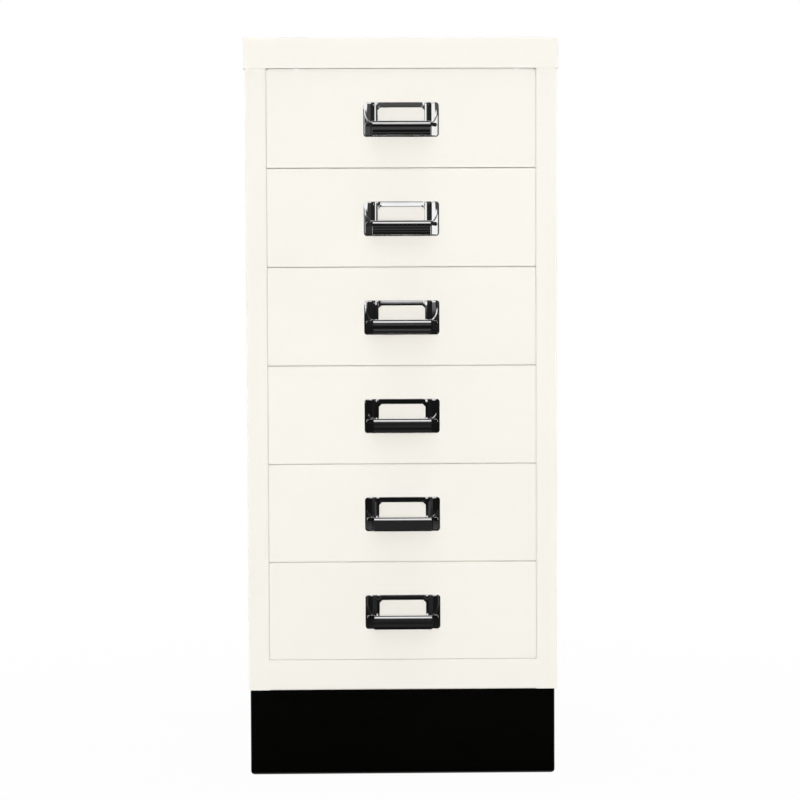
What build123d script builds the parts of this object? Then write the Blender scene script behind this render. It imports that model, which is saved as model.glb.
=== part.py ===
from build123d import *
import math
import os

# A six-drawer sheet steel cabinet on a plinth, in millimetres.
# The front faces -Y, +X is to the right seen from the front and +Z is up.
# The origin is on the floor, at the middle of the whole object's outline.

# Body of the cabinet
body_width = 280.0
body_depth = 380.0
sheet = 1.0
bend = 0.8
stile_width = 19.2
return_depth = 12.0
bottom_rail_height = 27.5
rail_ledge_depth = 20.0
top_rail_depth = 15.0
top_rail_lift = 2.0
post_leg = 15.0

# Cap that closes the top
cap_overhang = 1.5
cap_lip = 27.58

# Plinth
plinth_height = 81.6
plinth_side_inset = 0.7
plinth_setback = 22.0
plinth_rear_inset = 6.0
plinth_sheet = 1.5
plinth_bend = 3.0
plinth_flange = 20.0
plinth_corner = 3.0
bracket_sheet = 2.0
bracket_length = 30.0
bracket_drop = 32.0
bracket_reach = 21.0
bolt_r = 3.0
bolt_hole_clearance = 0.3
bolt_head_width = 10.0
bolt_head_height = 4.0
bolt_head_gap = 1.0
bolt_point = 1.5
nut_height = 5.0
nut_clearance = 0.1

# Drawers
drawer_count = 6
front_height = 88.47
front_gap = 0.35
top_gap = 0.4
side_gap = 0.2
front_recess = 0.5
front_thickness = 12.0
front_top_radius = 2.0
front_edge_radius = 0.5
tray_side_room = 8.8
tray_rear_gap = 22.5
tray_lift = 5.0
tray_drop = 4.0
hem_height = 5.0
hem_sheet = 1.0
stop_setback = 60.0
stop_lift = 24.0
stop_height = 20.0
stop_overlap = 3.0
stop_clearance = 0.5

# Runners and pads
runner_sheet = 1.2
runner_leg = 18.0
runner_overlap = 10.0
runner_start = 1.5
runner_end_gap = 0.5
rear_stop_width = 9.0
rear_stop_height = 14.0
rear_stop_gap = 0.4
pad_thickness = 1.5
pad_width = 8.0
pad_length = 20.0
pad_edge_gap = 1.0
pad_end_gap = 5.0
pad_clearance = 0.3
pad_rounding = 0.6

# Small pads over the top drawer
top_pad_centres = (-94.5, 104.0)
top_pad_width = 5.0
top_pad_length = 8.0
top_pad_setback = 1.5
top_pad_clearance = 0.2

# Pulls
pull_width = 68.0
pull_height = 31.1
pull_corner = 3.0
pull_sheet = 1.2
pull_drop = 1.6
window_half_width = 21.0
window_top_margin = 4.7
window_height = 13.0
window_chamfer = 2.5
rail_centre = 29.7
rail_width = 7.4
rail_height = 1.6
rail_end_margin = 1.4
rail_radius = 1.4
hood_half_width = 23.0
hood_reach = 13.5
hood_sheet = 1.2
hood_top = 17.4
hood_depth = 11.8
hood_radius = 3.0
hood_end_half_width = 28.5
hood_end_reach = 3.2
hood_end_rise = 1.2
hood_end_radius = 1.4
rivet_spacing = 28.0
rivet_below_hood_top = 5.6
rivet_r = 1.5
rivet_hole_clearance = 0.1
rivet_head_r = 2.6
rivet_head_height = 1.0

# Places that follow from the sizes above
half_width = body_width / 2
inner_x = half_width - sheet
aperture_x = half_width - stile_width
front_y = -(body_depth + cap_overhang - hood_reach - pull_sheet + front_recess) / 2
back_y = front_y + body_depth
panel_y = back_y - sheet
base_z = plinth_height
floor_z = base_z + 2 * sheet
first_front_z = base_z + bottom_rail_height + front_gap
pitch = front_height + front_gap
aperture_top = first_front_z + drawer_count * pitch - front_gap + top_gap
cap_top = aperture_top + cap_lip
cap_under = cap_top - sheet
drawer_y = front_y + front_recess
drawer_half = aperture_x - side_gap
tray_half = aperture_x - tray_side_room
tray_front_y = drawer_y + front_thickness - sheet
tray_back_y = panel_y - tray_rear_gap
ledge_x = tray_half - runner_overlap
runner_front_y = drawer_y + front_thickness + runner_start
runner_back_y = panel_y - post_leg - runner_end_gap
plinth_half = half_width - plinth_side_inset
plinth_front_y = front_y + plinth_setback
plinth_back_y = back_y - plinth_rear_inset
plinth_inner_x = plinth_half - plinth_sheet
bolt_x = plinth_inner_x - bracket_sheet - bend - bolt_head_width / math.sqrt(3) - bolt_head_gap
bolt_hole_r = bolt_r + bolt_hole_clearance
stop_y = tray_back_y - stop_setback
travel = stop_y - (front_y + return_depth) - stop_clearance


def block(x, y, z):
    """A box between the low and high values in x, y and z."""
    size = [high - low for low, high in (x, y, z)]
    middle = [(high + low) / 2 for low, high in (x, y, z)]
    return Pos(*middle) * Box(*size)


def peg(centre, radius, length, direction):
    """A round pin that starts at centre and runs along direction."""
    return extrude(Plane(origin=centre, z_dir=direction) * Circle(radius), length)


def hexagon(centre, across_flats, height):
    """A six-sided head or nut that stands on centre."""
    return extrude(Pos(*centre) * RegularPolygon(across_flats / 2, 6, major_radius=False), height)


def both_sides(shape):
    """The shape and its mirror image across the cabinet's middle."""
    return [shape, mirror(shape, Plane.YZ)]


def folded_section(path, thickness, inner_bend, side):
    """The cut face of a folded sheet whose one surface follows path.

    The metal lies to the left of the path where side is 1, and to the right where it is -1.
    """
    points = [Vector(*point) for point in path]
    runs = [(end - start).normalized() for start, end in zip(points, points[1:])]
    normals = [Vector(-run.Y, run.X) * side for run in runs]
    far_points = [points[0] + normals[0] * thickness]
    near_radii = [0]
    far_radii = [0]
    for corner in range(1, len(points) - 1):
        before, after = normals[corner - 1], normals[corner]
        reach = thickness / (1 + before.dot(after))
        far_points.append(points[corner] + (before + after) * reach)
        turn = runs[corner - 1].cross(runs[corner]).Z * side
        near_radii.append(inner_bend + thickness if turn > 0 else inner_bend)
        far_radii.append(inner_bend if turn > 0 else inner_bend + thickness)
    far_points.append(points[-1] + normals[-1] * thickness)
    near_radii.append(0)
    far_radii.append(0)
    outline = points + far_points[::-1]
    return make_face(FilletPolyline(outline, radius=near_radii + far_radii[::-1], close=True))


def extrude_up(section, low, high):
    """A plan section carried from one height to another."""
    return extrude(Pos(0, 0, low) * section, high - low)


def extrude_back(section, front, back):
    """A section in X and Z carried from front to back."""
    return extrude(Plane.XZ.offset(-front) * section, -(back - front))


def extrude_across(section, left, right):
    """A section in Y and Z carried from left to right."""
    return extrude(Plane.YZ.offset(left) * section, right - left)


def bolt_places(shape_at):
    """One shape at each of the four plinth bolts."""
    front = plinth_front_y + plinth_sheet + bracket_length / 2
    back = plinth_back_y - plinth_sheet - bracket_length / 2
    return [shape for y in (front, back) for shape in both_sides(shape_at(bolt_x, y))]


def bolt_holes(low, high):
    """The clearance holes of the plinth bolts through one layer."""
    return bolt_places(lambda x, y: peg((x, y, low), bolt_hole_r, high - low, (0, 0, 1)))


# Body panels

def make_cap():
    """The top cap, a shallow lid with a lip all round."""
    outer_x = half_width + cap_overhang
    outer = block(
        (-outer_x, outer_x),
        (front_y - cap_overhang, back_y + cap_overhang),
        (aperture_top, cap_top),
    )
    inner = block(
        (-outer_x + sheet, outer_x - sheet),
        (front_y - cap_overhang + sheet, back_y + cap_overhang - sheet),
        (aperture_top - sheet, cap_under),
    )
    outer = fillet(outer.edges().filter_by(Axis.Z) + outer.edges().group_by(Axis.Z)[-1], bend + sheet)
    inner = fillet(inner.edges().filter_by(Axis.Z) + inner.edges().group_by(Axis.Z)[-1], bend)
    return outer - inner


def make_right_side():
    """A side wall folded round the front into a stile, with a foot flange.

    The stile turns back beside the drawers and meets the bottom rail flat below them.
    """
    path = [
        (half_width, panel_y),
        (half_width, front_y),
        (aperture_x, front_y),
        (aperture_x, front_y + return_depth),
    ]
    rail_top = base_z + bottom_rail_height
    wall = extrude_up(folded_section(path[:-1], sheet, bend, -1), base_z, rail_top)
    wall += extrude_up(folded_section(path, sheet, bend, -1), rail_top, cap_under)
    foot = block(
        (aperture_x + sheet, inner_x),
        (front_y + sheet, panel_y),
        (base_z, base_z + sheet),
    )
    return wall + foot - bolt_holes(base_z, base_z + sheet)


def make_back_panel():
    """The flat sheet across the back."""
    return block((-half_width, half_width), (panel_y, back_y), (base_z, cap_under))


def make_right_post():
    """The angle in the rear corner that ties side, back and runners together."""
    plan = folded_section(
        [(inner_x, panel_y - post_leg), (inner_x, panel_y), (inner_x - post_leg, panel_y)],
        sheet,
        bend,
        1,
    )
    return extrude_up(plan, floor_z, cap_under)


def make_base_plate():
    """The floor of the cabinet, on the foot flanges of the sides."""
    plate = block(
        (-inner_x, inner_x),
        (front_y + return_depth, panel_y),
        (base_z + sheet, floor_z),
    )
    return plate - bolt_holes(base_z + sheet, floor_z)


def make_bottom_rail():
    """The folded rail under the lowest drawer."""
    section = folded_section(
        [
            (front_y + rail_ledge_depth, base_z),
            (front_y, base_z),
            (front_y, base_z + bottom_rail_height),
            (front_y + return_depth, base_z + bottom_rail_height),
        ],
        sheet,
        bend,
        -1,
    )
    return extrude_across(section, -aperture_x, aperture_x)


def make_top_rail():
    """The folded rail behind the cap's lip."""
    low = aperture_top + top_rail_lift
    section = folded_section(
        [
            (front_y + top_rail_depth, low),
            (front_y, low),
            (front_y, cap_under),
            (front_y + top_rail_depth, cap_under),
        ],
        sheet,
        bend,
        -1,
    )
    return extrude_across(section, -aperture_x, aperture_x)


def make_top_pads():
    """The two pads that hang over the top drawer's edge."""
    low = aperture_top - top_gap + top_pad_clearance
    high = aperture_top + top_rail_lift
    front = front_y + top_pad_setback
    pads = []
    for centre in top_pad_centres:
        across = (centre - top_pad_width / 2, centre + top_pad_width / 2)
        pads.append(block(across, (front, front + top_pad_length), (low, high)))
    return Compound(pads)


# Plinth

def plinth_section(outer, inward):
    """A wall with a turned-in foot, at outer, with its foot towards inward."""
    side = 1 if inward > 0 else -1
    path = [(outer, plinth_height), (outer, 0), (outer + inward * plinth_flange, 0)]
    return folded_section(path, plinth_sheet, plinth_bend, side)


def plinth_mitre(corners):
    """The plan of one wall, mitred at both ends, as a tall prism."""
    return extrude_up(make_face(Polyline(*corners, close=True)), 0, plinth_height)


def make_plinth():
    """The four walls of the plinth by name."""
    left, right = -plinth_half, plinth_half
    front, back = plinth_front_y, plinth_back_y
    mitre = plinth_flange
    inner = {
        "front_left": (left + mitre, front + mitre),
        "front_right": (right - mitre, front + mitre),
        "back_left": (left + mitre, back - mitre),
        "back_right": (right - mitre, back - mitre),
    }
    width, depth = right - left, back - front
    outline = Pos(0, (front + back) / 2, 0) * RectangleRounded(width, depth, plinth_corner)
    whole = extrude_up(outline, 0, plinth_height)
    walls = {
        "plinth_front": extrude_across(plinth_section(front, 1), left, right)
        & plinth_mitre([(left, front), (right, front), inner["front_right"], inner["front_left"]]),
        "plinth_back": extrude_across(plinth_section(back, -1), left, right)
        & plinth_mitre([(left, back), (right, back), inner["back_right"], inner["back_left"]]),
        "plinth_left": extrude_back(plinth_section(left, 1), front, back)
        & plinth_mitre([(left, front), (left, back), inner["back_left"], inner["front_left"]]),
        "plinth_right": extrude_back(plinth_section(right, -1), front, back)
        & plinth_mitre([(right, front), (right, back), inner["back_right"], inner["front_right"]]),
    }
    return {name: wall & whole for name, wall in walls.items()}


def make_brackets():
    """The four angles that carry the cabinet on the plinth."""
    section = folded_section(
        [
            (plinth_inner_x, plinth_height - bracket_drop),
            (plinth_inner_x, plinth_height),
            (plinth_inner_x - bracket_reach, plinth_height),
        ],
        bracket_sheet,
        bend,
        1,
    )
    half = bracket_length / 2
    hole_low = plinth_height - bracket_sheet

    def bracket_at(x, y):
        hole = peg((x, y, hole_low), bolt_hole_r, bracket_sheet, (0, 0, 1))
        return extrude_back(section, y - half, y + half) - hole

    return Compound(bolt_places(bracket_at))


def make_bolts():
    """The four bolts, each with its nut on the cabinet's floor."""
    seat = plinth_height - bracket_sheet
    shank = floor_z + nut_height + bolt_point - seat

    def bolt_at(x, y):
        head = hexagon((x, y, seat - bolt_head_height), bolt_head_width, bolt_head_height)
        return head + peg((x, y, seat), bolt_r, shank, (0, 0, 1))

    def nut_at(x, y):
        bore = peg((x, y, floor_z), bolt_r + nut_clearance, nut_height, (0, 0, 1))
        return hexagon((x, y, floor_z), bolt_head_width, nut_height) - bore

    return Compound(bolt_places(bolt_at) + bolt_places(nut_at))


# Runners

def ledge_top(front_z):
    """The height of the ledge that carries the drawer whose front starts at front_z."""
    return front_z + tray_lift - pad_thickness - pad_clearance


def make_right_runner(front_z):
    """One runner: an angle on the side wall with a turned-up stop at its rear."""
    top = ledge_top(front_z)
    section = folded_section(
        [
            (inner_x, top - runner_sheet + runner_leg),
            (inner_x, top - runner_sheet),
            (ledge_x, top - runner_sheet),
        ],
        runner_sheet,
        bend,
        -1,
    )
    angle = extrude_back(section, runner_front_y, runner_back_y)
    stop_front = tray_back_y + rear_stop_gap
    stop = block(
        (ledge_x, ledge_x + rear_stop_width),
        (stop_front, stop_front + runner_sheet),
        (top - runner_sheet, top + rear_stop_height),
    )
    return angle + stop


def pad(front, low):
    """A slippery pad under the edge of a tray, with rounded ends."""
    outer = tray_half - pad_edge_gap
    shape = block((outer - pad_width, outer), (front, front + pad_length), (low, low + pad_thickness))
    return fillet(shape.edges().filter_by(Axis.X), pad_rounding)


def make_runner_pads():
    """The pads on the front ends of all the runners."""
    pads = []
    for front_z in front_heights():
        pads += both_sides(pad(runner_front_y + pad_edge_gap, ledge_top(front_z)))
    return Compound(pads)


# Drawers

def front_heights():
    """The heights of the drawer fronts' lower edges, from the top drawer down."""
    return [first_front_z + row * pitch for row in reversed(range(drawer_count))]


def pull_top(front_z):
    """The height of the pull's upper edge."""
    return front_z + front_height / 2 - pull_drop + pull_height / 2


def rivet_points(front_z, y):
    """The two points at which a pull's rivets cross depth y."""
    height = pull_top(front_z) - hood_top - rivet_below_hood_top
    return [(side * rivet_spacing / 2, y, height) for side in (-1, 1)]


def rivet_holes(front_z, front, back):
    """The clearance holes for a pull's rivets through one layer."""
    radius = rivet_r + rivet_hole_clearance
    return [peg(point, radius, back - front, (0, 1, 0)) for point in rivet_points(front_z, front)]


def make_drawer_front(front_z):
    """The folded channel that closes the drawer, with a softly rounded top edge."""
    back = drawer_y + front_thickness
    shell = block((-drawer_half, drawer_half), (drawer_y, back), (front_z, front_z + front_height))
    front_edges = shell.edges().group_by(Axis.Y)[0]
    level_edges = front_edges.filter_by(Axis.X).sort_by(Axis.Z)
    shell = fillet(level_edges[-1], front_top_radius)
    front_edges = shell.edges().group_by(Axis.Y)[0]
    shell = fillet(front_edges.filter_by(Axis.X).sort_by(Axis.Z)[0], front_edge_radius)
    hollow = block(
        (-drawer_half, drawer_half),
        (drawer_y + sheet, back),
        (front_z + sheet, front_z + front_height - sheet),
    )
    hollow_edge = hollow.edges().group_by(Axis.Y)[0].filter_by(Axis.X).sort_by(Axis.Z)[-1]
    hollow = fillet(hollow_edge, front_top_radius - sheet)
    return shell - hollow - rivet_holes(front_z, drawer_y, drawer_y + sheet)


def make_front_ends(front_z):
    """The two plates that close the ends of a drawer's front."""
    end = block(
        (drawer_half - sheet, drawer_half),
        (drawer_y + sheet, drawer_y + front_thickness),
        (front_z + sheet, front_z + front_height - sheet),
    )
    top_edge = end.edges().filter_by(Axis.X).group_by(Axis.Y)[0].sort_by(Axis.Z)[-1]
    return Compound(both_sides(fillet(top_edge, front_top_radius - sheet)))


def make_tray(front_z):
    """The drawer's tray, with a front flange, hemmed sides and stop tabs."""
    low = front_z + tray_lift
    high = front_z + front_height - tray_drop
    outer = block((-tray_half, tray_half), (tray_front_y, tray_back_y), (low, high))
    inner = block(
        (-tray_half + sheet, tray_half - sheet),
        (tray_front_y + sheet, tray_back_y - sheet),
        (low + sheet, high + sheet),
    )
    outer = fillet(outer.edges().group_by(Axis.Z)[0].filter_by(Axis.Y), bend + sheet)
    inner = fillet(inner.edges().group_by(Axis.Z)[0].filter_by(Axis.Y), bend)
    flange = block(
        (-drawer_half + sheet, drawer_half - sheet),
        (tray_front_y, tray_front_y + sheet),
        (front_z + sheet, front_z + front_height - sheet),
    )
    tray = outer - inner + flange
    hem = block((tray_half, tray_half + hem_sheet), (tray_front_y + sheet, tray_back_y), (high - hem_height, high))
    tab = block(
        (tray_half, aperture_x + stop_overlap),
        (stop_y, stop_y + sheet),
        (low + stop_lift, low + stop_lift + stop_height),
    )
    return tray + both_sides(hem) + both_sides(tab)


def make_glides(front_z):
    """The two glides under the rear corners of a tray."""
    low = front_z + tray_lift - pad_thickness
    return Compound(both_sides(pad(tray_back_y - pad_end_gap - pad_length, low)))


def hood_section(x, reach, top, depth, radius):
    """One cut through the pull's hood at x, rounded along its upper front edge.

    Top and depth are heights measured from the hood's own level, upwards and downwards.
    """
    base = drawer_y - pull_sheet
    corners = [(base, top), (base - reach, top), (base - reach, -depth), (base, -depth)]
    outline = FilletPolyline(*corners, radius=[0, radius, 0, 0], close=True)
    return Plane.YZ.offset(x) * make_face(outline)


def hood_body(shrink):
    """The hood's solid form between its two ends, or its hollow where shrink is a sheet's gauge."""
    sections = []
    depth = hood_depth + shrink
    for side in (-1, 1):
        end = hood_section(
            side * (hood_end_half_width - shrink),
            hood_end_reach - shrink,
            hood_end_rise - shrink,
            depth,
            hood_end_radius,
        )
        shoulder = hood_section(
            side * (hood_half_width - shrink / 2),
            hood_reach - shrink,
            -shrink,
            depth,
            hood_radius - shrink,
        )
        sections += [end, shoulder] if side < 0 else [shoulder, end]
    return loft(sections, ruled=True)


def make_pull(front_z):
    """The chromed pull: a plate with a label window, side rails and a finger hood."""
    top = pull_top(front_z)
    middle = top - pull_height / 2
    window_top = top - window_top_margin
    window_low = window_top - window_height
    inset = window_half_width - window_chamfer
    window = Polyline(
        (-window_half_width, window_low),
        (-window_half_width, window_top - window_chamfer),
        (-inset, window_top),
        (inset, window_top),
        (window_half_width, window_top - window_chamfer),
        (window_half_width, window_low),
        close=True,
    )
    outline = Pos(0, middle) * RectangleRounded(pull_width, pull_height, pull_corner) - make_face(window)
    plate_y = drawer_y - pull_sheet
    plate = extrude_back(outline, plate_y, drawer_y)
    rail = block(
        (rail_centre - rail_width / 2, rail_centre + rail_width / 2),
        (plate_y - rail_height, plate_y),
        (middle - pull_height / 2 + rail_end_margin, top - rail_end_margin),
    )
    rail = fillet(rail.edges().group_by(Axis.Y)[0], rail_radius)
    hood = Pos(0, 0, top - hood_top) * (hood_body(0) - hood_body(hood_sheet))
    return plate + both_sides(rail) + hood - rivet_holes(front_z, plate_y, drawer_y)


def make_rivets(front_z):
    """The two rivets that hold a pull, with one head under the hood and one behind the front."""
    plate_y = drawer_y - pull_sheet
    rivets = []
    for x, y, z in rivet_points(front_z, plate_y):
        shank = peg((x, y, z), rivet_r, pull_sheet + sheet, (0, 1, 0))
        front_head = peg((x, y, z), rivet_head_r, rivet_head_height, (0, -1, 0))
        back_head = peg((x, drawer_y + sheet, z), rivet_head_r, rivet_head_height, (0, 1, 0))
        rivets.append(shank + front_head + back_head)
    return Compound(rivets)


def make_all():
    """Every piece of the cabinet by its node name."""
    side = both_sides(make_right_side())
    post = both_sides(make_right_post())
    pieces = {
        "top_cap": make_cap(),
        "right_side": side[0],
        "left_side": side[1],
        "back_panel": make_back_panel(),
        "right_rear_post": post[0],
        "left_rear_post": post[1],
        "base_plate": make_base_plate(),
        "bottom_rail": make_bottom_rail(),
        "top_rail": make_top_rail(),
        "top_pads": make_top_pads(),
        "runner_pads": make_runner_pads(),
        "plinth_brackets": make_brackets(),
        "plinth_bolts": make_bolts(),
    }
    pieces.update(make_plinth())
    for number, front_z in enumerate(front_heights(), start=1):
        runner = both_sides(make_right_runner(front_z))
        pieces[f"runner_right_{number}"] = runner[0]
        pieces[f"runner_left_{number}"] = runner[1]
        pieces[f"drawer_{number}_front"] = make_drawer_front(front_z)
        pieces[f"drawer_{number}_front_ends"] = make_front_ends(front_z)
        pieces[f"drawer_{number}_tray"] = make_tray(front_z)
        pieces[f"drawer_{number}_glides"] = make_glides(front_z)
        pieces[f"drawer_{number}_handle"] = make_pull(front_z)
        pieces[f"drawer_{number}_rivets"] = make_rivets(front_z)
    return pieces


os.makedirs("parts", exist_ok=True)
for node, piece in make_all().items():
    export_step(piece, f"parts/{node}.step")
print(f"drawer travel {travel:.1f}, overall height {cap_top:.1f}")
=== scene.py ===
"""Dresses the six-drawer steel cabinet and sets it in its studio.

Every length is in metres unless a class says otherwise, in the cabinet's own frame: the front
faces -Y, +X is to the right seen from the front and +Z is up, with the floor at Z = 0.
"""

import logging
import math
from dataclasses import dataclass, field
from enum import Enum

import bmesh
import bpy
import numpy as np
from mathutils import Matrix, Vector

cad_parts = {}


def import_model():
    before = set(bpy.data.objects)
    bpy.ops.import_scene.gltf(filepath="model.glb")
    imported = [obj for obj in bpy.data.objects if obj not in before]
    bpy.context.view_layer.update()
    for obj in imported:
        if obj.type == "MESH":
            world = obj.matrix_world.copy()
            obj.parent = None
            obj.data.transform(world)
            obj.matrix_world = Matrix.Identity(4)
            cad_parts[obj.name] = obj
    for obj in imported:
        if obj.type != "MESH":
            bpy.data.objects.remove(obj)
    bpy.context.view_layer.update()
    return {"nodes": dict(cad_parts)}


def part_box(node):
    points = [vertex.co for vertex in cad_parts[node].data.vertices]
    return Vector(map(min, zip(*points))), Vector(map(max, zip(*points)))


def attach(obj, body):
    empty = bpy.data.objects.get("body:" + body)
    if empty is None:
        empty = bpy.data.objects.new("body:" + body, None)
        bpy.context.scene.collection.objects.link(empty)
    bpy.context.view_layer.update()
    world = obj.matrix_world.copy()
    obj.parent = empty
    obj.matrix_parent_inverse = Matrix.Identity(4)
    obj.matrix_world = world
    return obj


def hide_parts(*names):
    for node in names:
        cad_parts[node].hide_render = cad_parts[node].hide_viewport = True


log = logging.getLogger("cabinet")
MM = 0.001
SLIVER = 1e-6  # keeps divisions and comparisons clear of rounding
DRAWERS = range(1, 7)
SHADE_STEP = 0.97
NOISE_MIDDLE = 0.5
Rgb = tuple[float, float, float]
Rgba = tuple[float, float, float, float]
Span = tuple[float, float]
Point = tuple[float, float, float]


class Slot(Enum):
    """The finishes that the record knows."""

    IVORY = "ivory_paint"
    BLACK = "black_paint"
    CHROME = "chrome"
    ZINC = "zinc_steel"
    NYLON = "white_nylon"


class Field:
    """A value that varies over a surface and is written like a number."""

    def __init__(self, recipe: "Recipe", socket: bpy.types.NodeSocket | None) -> None:
        """Keeps one output socket.

        Args:
            recipe: The nodes that the socket belongs to.
            socket: The output socket that carries the value, if there is one.
        """
        self.recipe = recipe
        self.socket = socket

    def _math(self, operation: str, *values: "Field | float") -> "Field":
        """Adds one Math node.

        Args:
            operation: The node's operation.
            values: Its inputs in order.

        Returns:
            The node's result.
        """
        return self.recipe.node("ShaderNodeMath", {"operation": operation}, dict(enumerate(values)))

    def __add__(self, other: "Field | float") -> "Field":
        """The sum of this and another value."""
        return self._math("ADD", self, other)

    def __radd__(self, other: float) -> "Field":
        """The sum of a number and this."""
        return self._math("ADD", other, self)

    def __sub__(self, other: "Field | float") -> "Field":
        """This less another value."""
        return self._math("SUBTRACT", self, other)

    def __rsub__(self, other: float) -> "Field":
        """A number less this."""
        return self._math("SUBTRACT", other, self)

    def __mul__(self, other: "Field | float") -> "Field":
        """The product of this and another value."""
        return self._math("MULTIPLY", self, other)

    def __rmul__(self, other: float) -> "Field":
        """The product of a number and this."""
        return self._math("MULTIPLY", other, self)

    def smoothstep(self, low: float, high: float) -> "Field":
        """Carries this from 0 at low to 1 at high on a smooth curve.

        Args:
            low: The value that becomes 0.
            high: The value that becomes 1.

        Returns:
            The eased value, held between 0 and 1.
        """
        inputs = {"Value": self, "From Min": low, "From Max": high}
        settings = {"interpolation_type": "SMOOTHSTEP"}
        return self.recipe.node("ShaderNodeMapRange", settings, inputs)


class Recipe:
    """The nodes of a material or of the world, put together one by one."""

    def __init__(self, owner: bpy.types.Material | bpy.types.World) -> None:
        """Starts without a node.

        Args:
            owner: The material or the world that the nodes belong to.
        """
        self.owner = owner
        owner.use_nodes = True
        self.tree = owner.node_tree
        self.tree.nodes.clear()

    @classmethod
    def of_material(cls, name: str) -> "Recipe":
        """Starts a new material of this name."""
        return cls(bpy.data.materials.new(name))

    def node(self, kind: str, settings: dict | None = None, inputs: dict | None = None,
             output: int | str = 0) -> Field:
        """Adds a node of any type.

        Args:
            kind: The node's type.
            settings: Its own settings, set before its sockets.
            inputs: The value or link of each socket, by name or by place.
            output: The socket that is handed back.

        Returns:
            The chosen output, or a field without a socket for a node that has no outputs.
        """
        node = self.tree.nodes.new(kind)
        for name, value in (settings or {}).items():
            setattr(node, name, value)
        for name, value in (inputs or {}).items():
            if isinstance(value, Field):
                self.tree.links.new(value.socket, node.inputs[name])
            else:
                node.inputs[name].default_value = value
        return Field(self, node.outputs[output] if len(node.outputs) else None)

    def place(self) -> Field:
        """The point on the surface, in metres, carried along with the piece."""
        return self.node("ShaderNodeTexCoord", output="Object")

    def noise(self, at: Field, size: float, detail: float, roughness: float = 0.5) -> Field:
        """A soft random pattern.

        Args:
            at: The point that it is read at.
            size: How large its patches are, in metres.
            detail: How many finer layers it has.
            roughness: How strong the finer layers are.

        Returns:
            The pattern, from 0 to 1 about a middle of 0.5.
        """
        inputs = {"Vector": at, "Scale": 1.0 / size, "Detail": detail, "Roughness": roughness}
        return self.node("ShaderNodeTexNoise", {"noise_dimensions": "3D"}, inputs)

    def blend(self, factor: Field, first: "Field | Rgba", second: "Field | Rgba") -> Field:
        """A colour between two others.

        Args:
            factor: 0 for the first colour and 1 for the second.
            first: A colour or a link.
            second: Another.

        Returns:
            The blended colour.
        """
        inputs = {0: factor, 6: first, 7: second}
        return self.node("ShaderNodeMix", {"data_type": "RGBA"}, inputs, output=2)

    def bump(self, height: Field, distance: float) -> Field:
        """A normal that is tilted by a height.

        Args:
            height: The height, from 0 to 1.
            distance: What a height of 1 stands for, in metres.

        Returns:
            The tilted normal.
        """
        return self.node("ShaderNodeBump", None, {"Height": height, "Distance": distance})

    def principled(self, inputs: dict[str, "Field | float"]) -> bpy.types.Material:
        """Ends a material with a principled surface.

        Args:
            inputs: The value or link of each socket by name.

        Returns:
            The finished material.
        """
        return self.finish(self.node("ShaderNodeBsdfPrincipled", None, inputs))

    def finish(self, shader: Field) -> bpy.types.Material | bpy.types.World:
        """Ends the nodes with their surface.

        Args:
            shader: The shader of the surface.

        Returns:
            The finished material or world.
        """
        kind = "World" if isinstance(self.owner, bpy.types.World) else "Material"
        self.node(f"ShaderNodeOutput{kind}", None, {"Surface": shader})
        return self.owner


def paint(colour: Rgb) -> Rgba:
    """A colour as Blender stores it.

    Args:
        colour: The colour as seen on a screen, from 0 to 255.

    Returns:
        The linear colour with a full alpha.
    """
    def linear(value: float) -> float:
        """One channel made linear by the usual curve of screens."""
        share = value / 255
        return share / 12.92 if share <= 0.04045 else ((share + 0.055) / 1.055) ** 2.4

    return *map(linear, colour), 1.0


def shaded(colour: Rgb) -> Rgb:
    """A colour made a step darker."""
    return tuple(SHADE_STEP * channel for channel in colour)


def grey(level: float) -> Rgba:
    """An even grey as Blender stores it, where 1 is white."""
    return level, level, level, 1.0


@dataclass(frozen=True)
class PowderCoat:
    """A baked powder coat with a fine orange peel."""

    name: str
    colour: Rgb
    shade: Rgb
    roughness: float
    drift: float
    peel_size: float
    peel_depth: float
    gloss: float = 0.5
    cloud_size: float = 160 * MM
    cloud_span: Span = (0.3, 0.7)
    cloud_share: float = 0.7
    speck_size: float = 2.4 * MM

    def material(self) -> bpy.types.Material:
        """Makes the coat.

        Returns:
            The material.
        """
        recipe = Recipe.of_material(self.name)
        at = recipe.place()
        cloud = recipe.noise(at, self.cloud_size, detail=3.0)
        speck = recipe.noise(at, self.speck_size, detail=2.0)
        peel = recipe.noise(at, self.peel_size, detail=3.0, roughness=0.55)
        tone = cloud.smoothstep(*self.cloud_span) * self.cloud_share
        tone += speck * (1 - self.cloud_share)
        drift = (cloud - NOISE_MIDDLE) * self.drift + (speck - NOISE_MIDDLE) * self.drift
        return recipe.principled({
            "Base Color": recipe.blend(tone, paint(self.shade), paint(self.colour)),
            "Roughness": drift + self.roughness,
            "Specular IOR Level": self.gloss,
            "Normal": recipe.bump(peel, self.peel_depth),
        })


@dataclass(frozen=True)
class ChromePlate:
    """Bright chromium over polished steel, with the faint waves of a pressed part."""

    name: str
    colour: Rgb
    roughness: float
    wave_size: float
    wave_depth: float
    haze_size: float = 9 * MM
    haze_span: Span = (0.4, 0.8)

    def material(self) -> bpy.types.Material:
        """Makes the plating.

        Returns:
            The material.
        """
        recipe = Recipe.of_material(self.name)
        at = recipe.place()
        haze = recipe.noise(at, self.haze_size, detail=4.0, roughness=0.6)
        wave = recipe.noise(at, self.wave_size, detail=1.0)
        return recipe.principled({
            "Base Color": recipe.blend(haze, paint(self.colour), paint(shaded(self.colour))),
            "Metallic": 1.0,
            "Roughness": haze.smoothstep(*self.haze_span) * self.roughness + self.roughness,
            "Normal": recipe.bump(wave, self.wave_depth),
        })


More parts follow.
